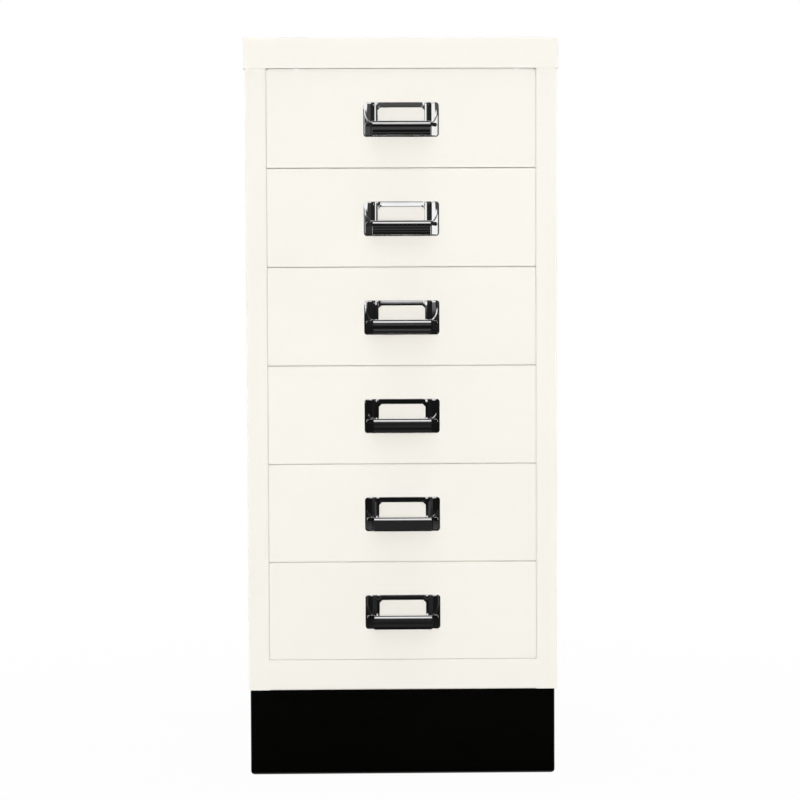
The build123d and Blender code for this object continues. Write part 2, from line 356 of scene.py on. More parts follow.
@dataclass(frozen=True)
class ZincPlate:
    """Zinc-plated steel with soft spangles and the marks of the rolling mill."""

    name: str
    light: Rgb
    dark: Rgb
    spangle: float
    spangle_span: Span = (0.0, 0.8)
    spangle_share: float = 0.5
    cloud_size: float = 30 * MM
    roughness: float = 0.34
    spread: float = 0.18
    dent_depth: float = 0.02 * MM

    def material(self) -> bpy.types.Material:
        """Makes the plating.

        Returns:
            The material.
        """
        recipe = Recipe.of_material(self.name)
        at = recipe.place()
        cells = recipe.node("ShaderNodeTexVoronoi", None, {"Vector": at, "Scale": 1 / self.spangle})
        cloud = recipe.noise(at, self.cloud_size, detail=4.0)
        tone = cells.smoothstep(*self.spangle_span) * self.spangle_share
        tone += cloud * (1 - self.spangle_share)
        return recipe.principled({
            "Base Color": recipe.blend(tone, paint(self.dark), paint(self.light)),
            "Metallic": 1.0,
            "Roughness": self.roughness + tone * self.spread,
            "Normal": recipe.bump(cloud, self.dent_depth),
        })


@dataclass(frozen=True)
class Nylon:
    """Moulded nylon, slightly milky."""

    name: str
    colour: Rgb
    grain_size: float = 0.8 * MM
    grain_depth: float = 0.02 * MM
    roughness: float = 0.42
    spread: float = 0.12

    def material(self) -> bpy.types.Material:
        """Makes the plastic.

        Returns:
            The material.
        """
        recipe = Recipe.of_material(self.name)
        grain = recipe.noise(recipe.place(), self.grain_size, detail=3.0)
        return recipe.principled({
            "Base Color": recipe.blend(grain, paint(self.colour), paint(shaded(self.colour))),
            "Roughness": self.roughness + grain * self.spread,
            "Normal": recipe.bump(grain, self.grain_depth),
        })


FINISHES = {
    Slot.IVORY: PowderCoat(
        "ivory powder coat", (246, 242.5, 234.5), (243, 239.5, 230.8), roughness=0.42, drift=0.10,
        peel_size=0.9 * MM, peel_depth=0.012 * MM),
    Slot.BLACK: PowderCoat(
        "black powder coat", (5, 5, 4), (4, 4, 3), roughness=0.24, drift=0.06,
        peel_size=1.1 * MM, peel_depth=0.01 * MM, gloss=0.2),
    Slot.CHROME: ChromePlate(
        "bright chrome", (238, 238, 238), roughness=0.025, wave_size=14 * MM,
        wave_depth=0.02 * MM),
    Slot.ZINC: ZincPlate("zinc plated steel", (214, 217, 220), (176, 180, 186), spangle=5 * MM),
    Slot.NYLON: Nylon("white nylon", (250, 250, 247)),
}


class Wardrobe:
    """Makes each finish once and puts it on pieces."""

    def __init__(self) -> None:
        """Makes all the materials."""
        self.materials = {slot: finish.material() for slot, finish in FINISHES.items()}

    def dress(self, piece: bpy.types.Object, slot: Slot) -> None:
        """Gives a piece one finish all over.

        Args:
            piece: The piece, from the CAD model or new.
            slot: The finish.
        """
        piece.data.materials.clear()
        piece.data.materials.append(self.materials[slot])


def ramp(value: np.ndarray, start: float, full: float) -> np.ndarray:
    """Goes evenly from 0 to 1, and is held there.

    Args:
        value: The values.
        start: The value that becomes 0.
        full: The value that becomes 1, above or below start.

    Returns:
        The shares.
    """
    return np.clip((value - start) / (full - start), 0, 1)


def put(name: str, data: bpy.types.ID, place: Point = (0.0, 0.0, 0.0)) -> bpy.types.Object:
    """Puts a new object in the scene.

    Args:
        name: Its name.
        data: Its mesh, lamp or camera.
        place: Where its origin goes.

    Returns:
        The object.
    """
    thing = bpy.data.objects.new(name, data)
    thing.location = place
    bpy.context.scene.collection.objects.link(thing)
    return thing


def smooth_mesh(form: bmesh.types.BMesh, name: str, sharp: float) -> bpy.types.Mesh:
    """Turns a form into a smooth mesh that keeps its sharp edges.

    Args:
        form: The form, which is used up.
        name: The mesh's name.
        sharp: The angle from which an edge is sharp, in degrees.

    Returns:
        The mesh.
    """
    mesh = bpy.data.meshes.new(name)
    form.to_mesh(mesh)
    form.free()
    mesh.polygons.foreach_set("use_smooth", [True] * len(mesh.polygons))
    mesh.set_sharp_from_angle(angle=math.radians(sharp))
    return mesh


@dataclass
class FoldedParts:
    """A group of CAD pieces that keep their shape and get their finish."""

    title: str
    finishes: dict[str, Slot]

    def build(self, nodes: dict[str, bpy.types.Object], wardrobe: Wardrobe) -> None:
        """Dresses the group.

        Args:
            nodes: The CAD pieces by name.
            wardrobe: The finishes.
        """
        for name, slot in self.finishes.items():
            wardrobe.dress(nodes[name], slot)
            log.info("%s: %s in %s", self.title, name, slot.value)


@dataclass
class Pull:
    """One chromed pull, pressed from a single sheet.

    Across is measured from the pull's middle, down from its upper edge, and height from the
    drawer's face outwards. All sizes here are in millimetres and all angles in degrees. The
    steps are pairs of a place and the mesh's step from there to the next place.
    """

    half_width: float = 34.0
    tall: float = 31.1
    corner: float = 3.0
    gauge: float = 1.2
    rim: float = 0.25
    rim_full: float = 0.999
    thinnest: float = 0.05
    lift: float = 0.3

    window_half: float = 21.0
    window_top: float = 4.7
    window_low: float = 17.4
    window_chamfer: float = 2.5
    window_bend: float = 24.0

    rail_profile: tuple[Span, ...] = (
        (19.0, 0.0), (20.6, 0.0), (21.0, 0.25), (21.5, 0.26), (22.8, 0.157), (23.6, -0.03),
        (25.2, -0.76), (27.4, 0.46), (27.9, 0.42), (31.2, 0.08), (34.0, -0.2))
    rail_end: float = 1.4
    roll_start: float = 30.3
    roll_drop: float = 0.62
    roll_low: float = 13.0
    roll_power: float = 1.5
    tip_drop: float = 0.2
    tip_from: float = 19.4
    tip_full: float = 21.6
    tip_end: float = 25.0
    tip_low: float = 4.2
    tip_power: float = 1.5

    crown_rise: float = 0.015
    crown_roll: float = 0.17
    crown_half: float = 19.5
    crown_end: float = 22.0
    crown_low: float = 0.5

    edge_drop: float = 0.42
    edge_wide: float = 0.95
    edge_from: float = 4.0
    edge_full: float = 9.0

    crease_start: float = 25.0
    crease_across: float = 7.4
    crease_top: float = 6.5
    crease_past: float = 0.2
    crease_axis: float = 0.001
    crease_half: float = 0.7
    crease_power: float = 1.2
    crease_rise: float = 0.085
    crease_fade: float = 9.0
    crease_least: float = 0.15

    horn_end: float = 32.2
    horn_tip: float = 2.2
    horn_top: float = 18.5
    horn_low: float = 22.3
    horn_crest: float = 0.35
    horn_rise: float = 1.9
    horn_slack: float = 0.01

    hood_top: float = 17.4
    hood_low: float = 30.0
    hood_shelf: float = 12.9
    hood_half: float = 25.9
    hood_round: float = 0.15
    hood_steep: float = 3.0
    hood_step: float = 0.05
    hood_lean: tuple[Span, ...] = (
        (0.0, 70.0), (0.25, 42.0), (1.0, 37.0), (1.3, 30.0), (2.3, 16.0), (2.6, 6.0),
        (2.9, -4.0), (4.6, -5.0), (5.6, -10.0), (7.4, -10.0), (8.4, -6.0), (9.8, -6.0),
        (10.6, -12.0), (12.2, -14.0))
    lining_gap: float = 0.01
    lip_drop: float = 0.1
    lip_turns: int = 5
    melt: float = 0.5

    column_steps: tuple[Span, ...] = (
        (0.0, 1.4), (16.8, 0.6), (18.6, 0.4), (21.0, 0.2), (25.0, 0.1), (26.0, 0.2),
        (32.8, 0.15), (33.6, 0.08), (34.0, 0.0))
    plate_steps: tuple[Span, ...] = (
        (0.0, 0.08), (0.4, 0.3), (1.2, 0.5), (4.2, 0.1), (4.7, 0.5), (7.2, 0.9), (12.0, 0.35),
        (17.4, 0.0))
    hood_steps: tuple[Span, ...] = ((17.4, 0.05), (17.8, 0.12), (19.0, 0.18), (30.0, 0.0))
    foot_steps: tuple[Span, ...] = ((30.0, 0.15), (30.7, 0.08), (31.1, 0.0))
    rim_slack: float = 0.03
    sharp: float = 16.0

    @staticmethod
    def _spread(stops: tuple[Span, ...]) -> np.ndarray:
        """Places between stops.

        Args:
            stops: Each place, with the step that holds up to the next one.

        Returns:
            All the places in order.
        """
        places = []
        for (start, step), (end, _) in zip(stops, stops[1:]):
            count = max(1, round((end - start) / step))
            places += [start + (end - start) * index / count for index in range(count)]
        return np.array(places + [stops[-1][0]])

    def _across(self) -> np.ndarray:
        """The columns of the mesh, from left to right."""
        half = self._spread(self.column_steps)
        return np.concatenate([-half[:0:-1], half])

    def _down(self) -> np.ndarray:
        """The rows of the mesh, from the upper edge to the lower."""
        above, hood, below = map(self._spread, (self.plate_steps, self.hood_steps, self.foot_steps))
        return np.concatenate([above[:-1], hood, below[1:]])

    def _flow(self, x: np.ndarray, z: np.ndarray) -> tuple[np.ndarray, np.ndarray]:
        """Bends the even grid to the window's cut corners and the plate's round ones.

        Args:
            x: Places across.
            z: Places down.

        Returns:
            The bent places.
        """
        ax = np.abs(x)
        cut = np.clip(ax - (self.window_half - self.window_chamfer), 0, self.window_chamfer)
        fade = np.where(z < self.window_top, z / self.window_top,
                        ramp(z, self.window_low, self.window_top))
        z = z + cut * ramp(ax, self.window_bend, self.window_half) * fade
        hub_x, hub_top = self.half_width - self.corner, self.corner
        hub_low = self.tall - self.corner
        a = (ax - hub_x) / self.corner
        b = np.where(z < hub_top, hub_top - z, np.where(z > hub_low, z - hub_low, 0)) / self.corner
        inside = (a > 0) & (b > 0)
        reach = np.maximum(np.hypot(a, b), SLIVER)
        shrink = np.where(inside, np.maximum(a, b) / reach, 1.0)
        side = np.where(z < hub_top, -1, 1)
        base = np.where(z < hub_top, hub_top, hub_low)
        new_x = np.where(inside, np.sign(x) * (hub_x + a * shrink * self.corner), x)
        new_z = np.where(inside, base + side * b * shrink * self.corner, z)
        return new_x, new_z

    @staticmethod
    def _ridge(distance: np.ndarray, half: float, power: float) -> np.ndarray:
        """A round ridge: 1 at its middle and 0 past its edge.

        Args:
            distance: The distance from the middle.
            half: Half of the ridge's width.
            power: How full the ridge is; a half is a half circle.

        Returns:
            The ridge's height.
        """
        return np.clip(1 - (distance / half) ** 2, 0, 1) ** power

    def _rails(self, ax: np.ndarray, z: np.ndarray) -> np.ndarray:
        """The height of the rails beside the window, with their rolled and tipped ends.

        Args:
            ax: Distances from the middle.
            z: Places down.

        Returns:
            The height over the flat plate.
        """
        ends = np.minimum(z, self.tall - z)
        rail = np.interp(ax, *zip(*self.rail_profile))
        rail *= np.sin(np.pi / 2 * ramp(ends, 0, self.rail_end))
        rolled = ramp(ax, self.roll_start, self.half_width) * ramp(z, self.roll_low, 0)
        tipped = ramp(z, self.tip_low, 0) ** self.tip_power * (ax < self.tip_end)
        tipped *= ramp(ax, self.tip_from, self.tip_full)
        return rail - self.roll_drop * rolled ** self.roll_power - self.tip_drop * tipped

    def _crown(self, ax: np.ndarray, z: np.ndarray) -> np.ndarray:
        """The height of the bar over the window.

        Args:
            ax: Distances from the middle.
            z: Places down.

        Returns:
            The height over the flat plate.
        """
        middle = self.window_top / 2
        crown = self.crown_rise * self._ridge(z - middle, middle, 1.0)
        low = ramp(z, self.window_top - self.crown_low, self.window_top)
        crown -= self.crown_roll * low * (ax < self.crown_half)
        return crown * ramp(ax, self.crown_end, self.crown_half)

    def _crease(self, ax: np.ndarray, z: np.ndarray) -> np.ndarray:
        """The height of the crease that sweeps from the hood up into a rail.

        Args:
            ax: Distances from the middle.
            z: Places down.

        Returns:
            The height over the flat plate.
        """
        tall = self.horn_top - self.crease_top + self.crease_past
        across = np.maximum((ax - self.crease_start) / self.crease_across, self.crease_axis)
        down = np.maximum((z - self.crease_top) / tall, self.crease_axis)
        steep = 2 * np.hypot(across / self.crease_across, down / tall)
        away = (across ** 2 + down ** 2 - 1) / steep
        there = (ax > self.crease_start) & (z > self.crease_top)
        ridge = self._ridge(np.where(there, away, self.tall), self.crease_half, self.crease_power)
        fade = ramp(z, self.crease_top, self.crease_top + self.crease_fade)
        return self.crease_rise * ridge * np.maximum(fade, self.crease_least)

    def _from_rim(self, ax: np.ndarray, z: np.ndarray) -> np.ndarray:
        """The distance from the plate's outline.

        Args:
            ax: Distances from the middle.
            z: Places down.

        Returns:
            The distance inwards.
        """
        dx = np.maximum(ax - (self.half_width - self.corner), 0)
        dz = np.maximum(np.abs(z - self.tall / 2) - (self.tall / 2 - self.corner), 0)
        straight = np.minimum(self.half_width - ax, np.minimum(z, self.tall - z))
        return np.where((dx == 0) & (dz == 0), straight, self.corner - np.hypot(dx, dz))

    def _plate(self, x: np.ndarray, z: np.ndarray) -> np.ndarray:
        """The height of the plate with its relief and its turned-down edge.

        Args:
            x: Places across.
            z: Places down.

        Returns:
            The height over the drawer's face.
        """
        ax = np.abs(x)
        relief = self._rails(ax, z) + self._crown(ax, z) + self._crease(ax, z)
        edge = self._from_rim(ax, z)
        turned = ramp(edge, self.edge_wide, 0) * ramp(z, self.edge_from, self.edge_full)
        fall = np.minimum(ramp(edge, self.rim, 0), self.rim_full)
        rounded = self.rim * (1 - np.sqrt(1 - fall ** 2))
        height = self.gauge + relief - self.edge_drop * turned - rounded
        return np.maximum(height, self.thinnest)

    def _horn(self, x: np.ndarray, z: np.ndarray) -> np.ndarray:
        """The height of the round-tipped bead beside the hood.

        Args:
            x: Places across.
            z: Places down.

        Returns:
            The height over the drawer's face, 0 outside the bead.
        """
        past = np.clip((np.abs(x) - self.horn_end) / self.horn_tip + 1, 0, 1)
        tip = np.sqrt(1 - past ** 2)
        middle = self.horn_top + (self.horn_low - self.horn_top) * self.horn_crest
        top = middle + (self.horn_top - middle) * tip
        low = middle + (self.horn_low - middle) * tip
        fall = np.clip((low - z) / np.maximum(low - top, SLIVER), 0, 1)
        there = (z >= top - self.horn_slack) & (past < 1)
        return np.where(there, self.gauge + self.horn_rise * tip * fall, 0.0)

    def _hood_curve(self) -> tuple[np.ndarray, np.ndarray]:
        """The hood's outline from its upper edge to its lip.

        Returns:
            How far down each point lies, and how far it stands out from the drawer's face.
        """
        stops, angles = zip(*self.hood_lean)
        down = np.arange(0.0, self.hood_low - self.hood_top + SLIVER, self.hood_step)
        lean = np.tan(np.radians(np.interp(down, stops, angles)))
        rises = (lean[1:] + lean[:-1]) / 2 * np.diff(down)
        return down, self.hood_shelf + np.concatenate([[0.0], np.cumsum(rises)])

    def _hood(self, x: np.ndarray, z: np.ndarray, shrink: float = 0.0) -> np.ndarray:
        """The height of the hood alone.

        Args:
            x: Places across.
            z: Places down.
            shrink: The sheet's gauge for the hood's inside, and 0 for its outside.

        Returns:
            The height over the drawer's face, 0 outside the hood.
        """
        down, out = self._hood_curve()
        reach = np.interp(z - self.hood_top - shrink, down, out, left=0.0)
        beyond = np.abs(x) - self.hood_half + shrink + self.hood_round
        past = ramp(beyond, 0, self.hood_round)
        rounded = self.hood_round * (1 - np.sqrt(1 - past ** 2)) * self.hood_steep
        return np.maximum(reach - rounded - shrink, 0) * (past < 1)

    def _melted(self, first: np.ndarray, second: np.ndarray) -> np.ndarray:
        """The higher of two heights, run together where they meet."""
        near = np.clip(self.melt - np.abs(first - second), 0, None)
        return np.maximum(first, second) + near ** 2 / (4 * self.melt)

    @staticmethod
    def _skin(form: bmesh.types.BMesh, points: np.ndarray, cells: np.ndarray,
              spare: dict | None = None, flip: bool = False) -> dict:
        """Adds one skin of the sheet.

        Args:
            form: The mesh in the making.
            points: The grid's points by row and column.
            cells: Whether each cell of the grid is part of the skin.
            spare: Vertices that the skin shares with others.
            flip: Whether the skin looks towards the drawer.

        Returns:
            The skin's vertices by row and column.
        """
        made = dict(spare or {})
        for row, col in np.argwhere(cells).tolist():
            ring = []
            for at in ((row, col), (row + 1, col), (row + 1, col + 1), (row, col + 1)):
                if at not in made:
                    made[at] = form.verts.new(Vector(points[at]) * MM)
                ring.append(made[at])
            form.faces.new(ring[::-1] if flip else ring)
        return made

    def mesh(self) -> bpy.types.Mesh:
        """Builds the pull around its own upper middle point.

        Returns:
            The mesh, in metres, with its back at Y = 0.
        """
        columns, rows = self._across(), self._down()
        x, z = self._flow(*np.meshgrid(columns, rows))
        plate = self._plate(x, z)
        outer = self._melted(np.maximum(plate, self._horn(x, z)), self._hood(x, z))
        inner = np.maximum(self._hood(x, z, self.gauge), self.gauge) + self.lining_gap
        on_plate, on_front, on_lining = (
            np.stack([x, -height, -z], axis=-1) for height in (plate, outer, inner))

        lip, shelf, window_top = (int(np.argmin(np.abs(rows - place))) for place in
                                  (self.hood_low, self.hood_top, self.window_top))
        hooded = np.abs(columns) < self.hood_half - self.gauge
        windowed = np.abs(columns) < self.window_half + SLIVER
        cells = np.ones((len(rows) - 1, len(columns) - 1), bool)
        front_cells, foot_cells, hidden_cells = cells.copy(), cells.copy(), ~cells
        front_cells[window_top:shelf, windowed[:-1] & windowed[1:]] = False
        front_cells[lip:] = False
        foot_cells[:lip] = False
        hidden_cells[shelf:lip, hooded[:-1] & hooded[1:]] = True

        form = bmesh.new()
        front = self._skin(form, on_front, front_cells)
        under_hood = hooded & np.roll(hooded, 1) & np.roll(hooded, -1)
        shared = {(lip, col): front[lip, col] for col in np.flatnonzero(~under_hood).tolist()}
        foot = self._skin(form, on_plate, foot_cells, shared)
        edge = {at: vertex for at, vertex in foot.items() if at[0] == lip}
        self._skin(form, on_plate, hidden_cells, edge)
        lining = self._skin(form, on_lining, hidden_cells, flip=True)
        self._roll_lip(form, front, lining, lip)
        self._walls(form)
        bmesh.ops.recalc_face_normals(form, faces=form.faces)
        return smooth_mesh(form, "pull", self.sharp)

    def _roll_lip(self, form: bmesh.types.BMesh, front: dict, lining: dict, lip: int) -> None:
        """Joins the hood's outside to its inside round the lip.

        Args:
            form: The mesh in the making.
            front: The outer vertices by row and column.
            lining: The inner vertices by row and column.
            lip: The row of the lip.
        """
        before = None
        for col in sorted(col for row, col in lining if row == lip):
            start, end = front[lip, col].co, lining[lip, col].co
            middle, arm = (start + end) / 2, (start - end) / 2
            drop = Vector((0, 0, -min(arm.length, self.lip_drop * MM)))
            ring = [front[lip, col]]
            for turn in range(1, self.lip_turns):
                angle = math.pi * turn / self.lip_turns
                bend = arm * math.cos(angle) + drop * math.sin(angle)
                ring.append(form.verts.new(middle + bend))
            ring.append(lining[lip, col])
            if before:
                for low in range(len(ring) - 1):
                    form.faces.new((before[low], before[low + 1], ring[low + 1], ring[low]))
            before = ring

    def _walls(self, form: bmesh.types.BMesh) -> None:
        """Carries the plate's free edges back to the drawer's face, in the same order each run.

        Args:
            form: The mesh in the making.
        """
        free = [tuple(edge.verts) for edge in form.edges if edge.is_boundary
                and all(self._at_rim(vertex.co) for vertex in edge.verts)]
        back = {}
        for start, end in free:
            for vertex in (start, end):
                if vertex not in back:
                    back[vertex] = form.verts.new((vertex.co.x, 0.0, vertex.co.z))
            form.faces.new((end, start, back[start], back[end]))

    def _at_rim(self, point: Vector) -> bool:
        """Whether a point lies on the plate's outline or round its window.

        Args:
            point: The point, in metres.

        Returns:
            Whether it is on one of the cut edges.
        """
        across, down = abs(point.x) / MM, -point.z / MM
        dx = max(across - (self.half_width - self.corner), 0)
        dz = max(abs(down - self.tall / 2) - (self.tall / 2 - self.corner), 0)
        outline = abs(math.hypot(dx, dz) - self.corner) < self.rim_slack
        beside = across < self.window_half + self.rim_slack
        level = self.window_top - self.rim_slack < down < self.window_low + self.rim_slack
        return outline or (beside and level)


@dataclass
class PullSet:
    """The pulls on all the drawers."""

    pull: Pull = field(default_factory=Pull)

    def build(self, wardrobe: Wardrobe) -> None:
        """Makes the pulls and fixes each to its drawer.

        Args:
            wardrobe: The finishes.
        """
        mesh = self.pull.mesh()
        for number in DRAWERS:
            low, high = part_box(f"drawer_{number}_handle")
            top = high.z + self.pull.lift * MM
            piece = put(f"pull_{number}", mesh, ((low.x + high.x) / 2, high.y, top))
            wardrobe.dress(piece, Slot.CHROME)
            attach(piece, f"drawer_{number}")
            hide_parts(f"drawer_{number}_handle")
            log.info("pulls: %s of %d faces", piece.name, len(mesh.polygons))


@dataclass
class FrontEdges:
    """The folded edges that close the gaps round the drawers' fronts, and two small pads."""

    pads: dict[str, float] = field(default_factory=lambda: {
        "left": -94.5 * MM, "right": 104.0 * MM})
    pad_width: float = 4.4 * MM
    pad_ahead: float = 0.2 * MM
    margin: float = 1.2 * MM
    setback: float = 0.35 * MM
    deep: float = 2.2 * MM
    tall: float = 1.5 * MM
    top_proud: float = 0.2 * MM
    side_proud: float = 0.11 * MM
    low_proud: tuple[float, ...] = (
        0.02 * MM, 0.08 * MM, 0.08 * MM, 0.08 * MM, 0.08 * MM, 0.16 * MM)
    round: float = 0.3 * MM
    fine_round: float = 0.05 * MM
    round_steps: int = 3
    sharp: float = 40.0

    def build(self, wardrobe: Wardrobe) -> None:
        """Makes the edges and the pads and fixes them to the drawers.

        Args:
            wardrobe: The finishes.
        """
        for number, proud in zip(DRAWERS, self.low_proud):
            self._folds(number, proud, wardrobe)
        self._uppermost(DRAWERS[0], wardrobe)

    def _folds(self, number: int, proud: float, wardrobe: Wardrobe) -> None:
        """Makes the folds at the sides and the foot of one front.

        Args:
            number: The drawer.
            proud: How far its lower fold stands out downwards.
            wardrobe: The finishes.
        """
        low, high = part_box(f"drawer_{number}_front")
        front = low.y + self.setback
        back, inner = front + self.deep, high.x - self.margin
        top, foot = high.z - self.margin, low.z + self.margin
        name = f"drawer_{number}_edge"
        for side, sign in (("left", -1), ("right", 1)):
            ends = sorted((sign * (high.x + self.side_proud), sign * (high.x - self.tall)))
            self._bar(f"{name}_{side}", (ends[0], front, foot), (ends[1], back, top), number,
                      wardrobe)
        self._bar(f"{name}_low", (-inner, front, low.z - proud), (inner, back, low.z + self.tall),
                  number, wardrobe)

    def _uppermost(self, number: int, wardrobe: Wardrobe) -> None:
        """Makes the fold and the pads at the upper edge of the uppermost front.

        Args:
            number: The drawer.
            wardrobe: The finishes.
        """
        low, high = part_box(f"drawer_{number}_front")
        top, inner = high.z + self.top_proud, high.x - self.margin
        under, front = top - self.tall, low.y + self.setback
        self._bar(f"drawer_{number}_edge_top", (-inner, front, under),
                  (inner, front + self.deep, top), number, wardrobe, self.round)
        for side, place in self.pads.items():
            left, right = place - self.pad_width / 2, place + self.pad_width / 2
            self._bar(f"edge_pad_{side}", (left, low.y - self.pad_ahead, under),
                      (right, low.y + self.deep, top), number, wardrobe, self.round, Slot.NYLON)

    def _bar(self, name: str, low: Point, high: Point, drawer: int, wardrobe: Wardrobe,
             rounding: float | None = None, slot: Slot = Slot.IVORY) -> None:
        """Makes one rounded bar on a drawer.

        Args:
            name: Its name.
            low: Its lowest corner.
            high: Its highest corner.
            drawer: The drawer that it moves with.
            wardrobe: The finishes.
            rounding: The radius of its edges; the fine one if left out.
            slot: Its finish.
        """
        low, high = Vector(low), Vector(high)
        form = bmesh.new()
        bmesh.ops.create_cube(form, size=1.0)
        bmesh.ops.scale(form, vec=high - low, verts=form.verts)
        bmesh.ops.bevel(form, geom=form.edges[:], offset=rounding or self.fine_round,
                        segments=self.round_steps, profile=0.5, affect="EDGES")
        bar = put(name, smooth_mesh(form, name, self.sharp), (low + high) / 2)
        wardrobe.dress(bar, slot)
        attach(bar, f"drawer_{drawer}")
        log.info("front edges: %s in %s", name, slot.value)


@dataclass(frozen=True)
class Glow:
    """A glowing patch of its own level on a card, which mirrors show as a painted highlight; each
    edge runs softly between two places.

    Left and right lie along X, foot and head along the card's own axis.
    """

    left: Span
    right: Span
    foot: Span
    head: Span
    level: float


@dataclass(frozen=True)
class Card:
    """A glowing card that only mirrors see, painting dark and light reflections; it turns from one
    level to another along its axis.
    """

    across: Point
    along: Point
    middle: Point
    low: float
    high: float
    turn: Span
    axis: str = "Z"
    glows: tuple[Glow, ...] = ()


@dataclass(frozen=True)
class Lamp:
    """A soft lamp that looks at a point; its power is in watts."""

    place: Point
    aim: Point
    size: Span
    energy: float


WHOLE_WIDTH = ((-9.0, -8.0), (8.0, 9.0))
# Glowing cards seen only by mirrors: their dark levels and bright patches are painted reflections
# in the chrome, not lamps.
REFLECTION_CARDS = {
    "card_front": Card((5.0, 0, 0), (0, 0, 1.75), (0.8, -3.0, 0.875), 0.008, 0.10, (0.25, 1.0),
                       glows=(
        Glow((-0.01, 0.02), (0.68, 0.98), (0.36, 0.50), (0.60, 0.70), 1.1),
        Glow((0.16, 0.3), (0.68, 0.98), (0.40, 0.60), (1.2, 1.4), 1.1),
        Glow((-1.9, -1.8), (-0.9, -0.62), (0.40, 0.60), (1.2, 1.4), 1.1),
        Glow((-1.5, -1.3), (-0.3, -0.1), (1.00, 1.15), (1.6, 1.7), 1.1))),
    "card_foot": Card((1.0, 0, 0), (0, 0, 0.46), (-2.2, -3.0, 0.23), 0.01, 0.02, (0.3, 0.5)),
    "card_floor": Card((7.0, 0, 0), (0, 2.96, 0), (0.4, -1.63, 0.002), 0.024, 0.006,
                       (-0.6, -0.35), axis="Y", glows=(
        Glow(*WHOLE_WIDTH, (-2.75, -2.45), (-1.9, -1.65), 0.06),
        Glow(*WHOLE_WIDTH, (-1.65, -1.5), (-1.25, -1.1), 0.009),
        Glow(*WHOLE_WIDTH, (-4.0, -3.9), (-2.75, -2.45), 0.008))),
    "card_ceiling": Card((5.0, 0, 0), (0, 2.6, 0), (0, -0.3, 3.4), 0.01, 0.01, (0.0, 1.0)),
    "card_right": Card((0, 3.4, 0), (0, 0, 1.3), (2.6, -1.4, 0.65), 0.012, 0.02, (0.3, 0.5)),
    "card_left": Card((0, 3.4, 0), (0, 0, 1.3), (-2.6, -1.4, 0.65), 0.01, 0.02, (0.3, 0.5)),
}
LAMPS = {
    "key": Lamp((0.0, -2.6, 2.6), (0.0, 0.0, 0.42), (2.6, 1.6), 9.0),
    "front": Lamp((0.0, -3.6, 0.5), (0.0, 0.0, 0.3), (1.2, 0.7), 64.5),
    "top": Lamp((0.0, -0.3, 3.2), (0.0, -0.1, 0.6), (2.0, 1.6), 36.0),
    "left": Lamp((-3.0, 0.2, 1.0), (0.0, 0.0, 0.35), (1.2, 1.8), 38.0),
    "right": Lamp((3.0, 0.2, 1.0), (0.0, 0.0, 0.35), (1.2, 1.8), 38.0),
    "back": Lamp((0.0, 3.2, 1.4), (0.0, 0.0, 0.35), (1.8, 1.2), 46.0),
}


